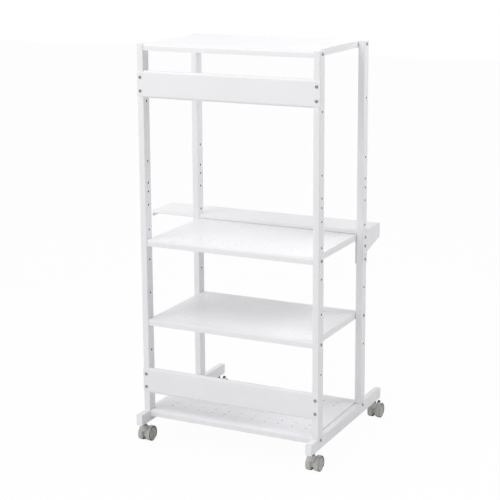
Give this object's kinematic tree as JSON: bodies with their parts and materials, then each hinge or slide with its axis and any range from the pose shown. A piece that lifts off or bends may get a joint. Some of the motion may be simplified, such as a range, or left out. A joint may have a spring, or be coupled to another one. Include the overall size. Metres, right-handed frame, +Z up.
{
  "type": "rolling storage rack",
  "caption": "White steel rolling rack with folded tray shelves, front guard panels, an overhanging rear tray and swivel twin-wheel casters.",
  "frame": {"origin": "on the floor, under the middle of the whole rack", "axes": "+X to the right seen from the front panels, +Y to the back, +Z up"},
  "size_m": [0.83, 0.6342, 1.36],
  "materials": {
    "powder_coat": "satin white powder coat",
    "cap_plastic": "moulded polyethylene",
    "zinc_screw": "bright zinc plate",
    "stem_steel": "plated steel",
    "hood_plastic": "moulded nylon",
    "wheel_plastic": "moulded nylon"
  },
  "bodies": {
    "frame": {"upright_front_left": "powder_coat", "upright_front_right": "powder_coat", "upright_rear_left": "powder_coat", "upright_rear_right": "powder_coat", "foot_rail_left": "powder_coat", "foot_rail_right": "powder_coat", "rail_cap_front_left": "cap_plastic", "rail_cap_front_right": "cap_plastic", "rail_cap_rear_left": "cap_plastic", "rail_cap_rear_right": "cap_plastic", "caster_stem_front_left": "stem_steel", "caster_stem_front_right": "stem_steel", "caster_stem_rear_left": "stem_steel", "caster_stem_rear_right": "stem_steel", "shelf_bottom": "powder_coat", "shelf_lower": "powder_coat", "shelf_upper": "powder_coat", "shelf_top": "powder_coat", "front_panel_lower": "powder_coat", "front_panel_upper": "powder_coat", "rear_tray": "powder_coat", "bracket_right": "powder_coat", "bracket_backing_right": "powder_coat", "bracket_left": "powder_coat", "screw_shelf_bottom_front_left": "zinc_screw", "screw_shelf_bottom_front_right": "zinc_screw", "screw_shelf_bottom_rear_left": "zinc_screw", "screw_shelf_bottom_rear_right": "zinc_screw", "screw_shelf_lower_front_left": "zinc_screw", "screw_shelf_lower_front_right": "zinc_screw", "screw_shelf_lower_rear_left": "zinc_screw", "screw_shelf_lower_rear_right": "zinc_screw", "screw_shelf_upper_front_left": "zinc_screw", "screw_shelf_upper_front_right": "zinc_screw", "screw_shelf_upper_rear_left": "zinc_screw", "screw_shelf_upper_rear_right": "zinc_screw", "screw_shelf_top_front_left": "zinc_screw", "screw_shelf_top_front_right": "zinc_screw", "screw_shelf_top_rear_left": "zinc_screw", "screw_shelf_top_rear_right": "zinc_screw", "screw_panel_lower_left_low": "zinc_screw", "screw_panel_lower_left_high": "zinc_screw", "screw_panel_lower_right_low": "zinc_screw", "screw_panel_lower_right_high": "zinc_screw", "screw_panel_upper_left_low": "zinc_screw", "screw_panel_upper_left_high": "zinc_screw", "screw_panel_upper_right_low": "zinc_screw", "screw_panel_upper_right_high": "zinc_screw"},
    "caster_front_left": {"caster_hood_front_left": "hood_plastic"},
    "wheel_front_left_a": {"caster_wheel_front_left_a": "wheel_plastic"},
    "wheel_front_left_b": {"caster_wheel_front_left_b": "wheel_plastic"},
    "caster_front_right": {"caster_hood_front_right": "hood_plastic"},
    "wheel_front_right_a": {"caster_wheel_front_right_a": "wheel_plastic"},
    "wheel_front_right_b": {"caster_wheel_front_right_b": "wheel_plastic"},
    "caster_rear_left": {"caster_hood_rear_left": "hood_plastic"},
    "wheel_rear_left_a": {"caster_wheel_rear_left_a": "wheel_plastic"},
    "wheel_rear_left_b": {"caster_wheel_rear_left_b": "wheel_plastic"},
    "caster_rear_right": {"caster_hood_rear_right": "hood_plastic"},
    "wheel_rear_right_a": {"caster_wheel_rear_right_a": "wheel_plastic"},
    "wheel_rear_right_b": {"caster_wheel_rear_right_b": "wheel_plastic"}
  },
  "joints": [
    {"name": "swivel_front_left", "type": "hinge", "parent": "frame", "child": "caster_front_left", "pos_m": [-0.2345, -0.28477, 0.054], "axis": [0, 0, 1], "continuous": true},
    {"name": "roll_front_left_a", "type": "hinge", "parent": "caster_front_left", "child": "wheel_front_left_a", "pos_m": [-0.248, -0.26477, 0.025], "axis": [1, 0, 0], "continuous": true},
    {"name": "roll_front_left_b", "type": "hinge", "parent": "caster_front_left", "child": "wheel_front_left_b", "pos_m": [-0.221, -0.26477, 0.025], "axis": [1, 0, 0], "continuous": true},
    {"name": "swivel_front_right", "type": "hinge", "parent": "frame", "child": "caster_front_right", "pos_m": [0.3925, -0.28477, 0.054], "axis": [0, 0, 1], "continuous": true},
    {"name": "roll_front_right_a", "type": "hinge", "parent": "caster_front_right", "child": "wheel_front_right_a", "pos_m": [0.379, -0.26477, 0.025], "axis": [1, 0, 0], "continuous": true},
    {"name": "roll_front_right_b", "type": "hinge", "parent": "caster_front_right", "child": "wheel_front_right_b", "pos_m": [0.406, -0.26477, 0.025], "axis": [1, 0, 0], "continuous": true},
    {"name": "swivel_rear_left", "type": "hinge", "parent": "frame", "child": "caster_rear_left", "pos_m": [-0.2345, 0.26123, 0.054], "axis": [0, 0, 1], "continuous": true},
    {"name": "roll_rear_left_a", "type": "hinge", "parent": "caster_rear_left", "child": "wheel_rear_left_a", "pos_m": [-0.248, 0.28123, 0.025], "axis": [1, 0, 0], "continuous": true},
    {"name": "roll_rear_left_b", "type": "hinge", "parent": "caster_rear_left", "child": "wheel_rear_left_b", "pos_m": [-0.221, 0.28123, 0.025], "axis": [1, 0, 0], "continuous": true},
    {"name": "swivel_rear_right", "type": "hinge", "parent": "frame", "child": "caster_rear_right", "pos_m": [0.3925, 0.26123, 0.054], "axis": [0, 0, 1], "continuous": true},
    {"name": "roll_rear_right_a", "type": "hinge", "parent": "caster_rear_right", "child": "wheel_rear_right_a", "pos_m": [0.379, 0.28123, 0.025], "axis": [1, 0, 0], "continuous": true},
    {"name": "roll_rear_right_b", "type": "hinge", "parent": "caster_rear_right", "child": "wheel_rear_right_b", "pos_m": [0.406, 0.28123, 0.025], "axis": [1, 0, 0], "continuous": true}
  ]
}
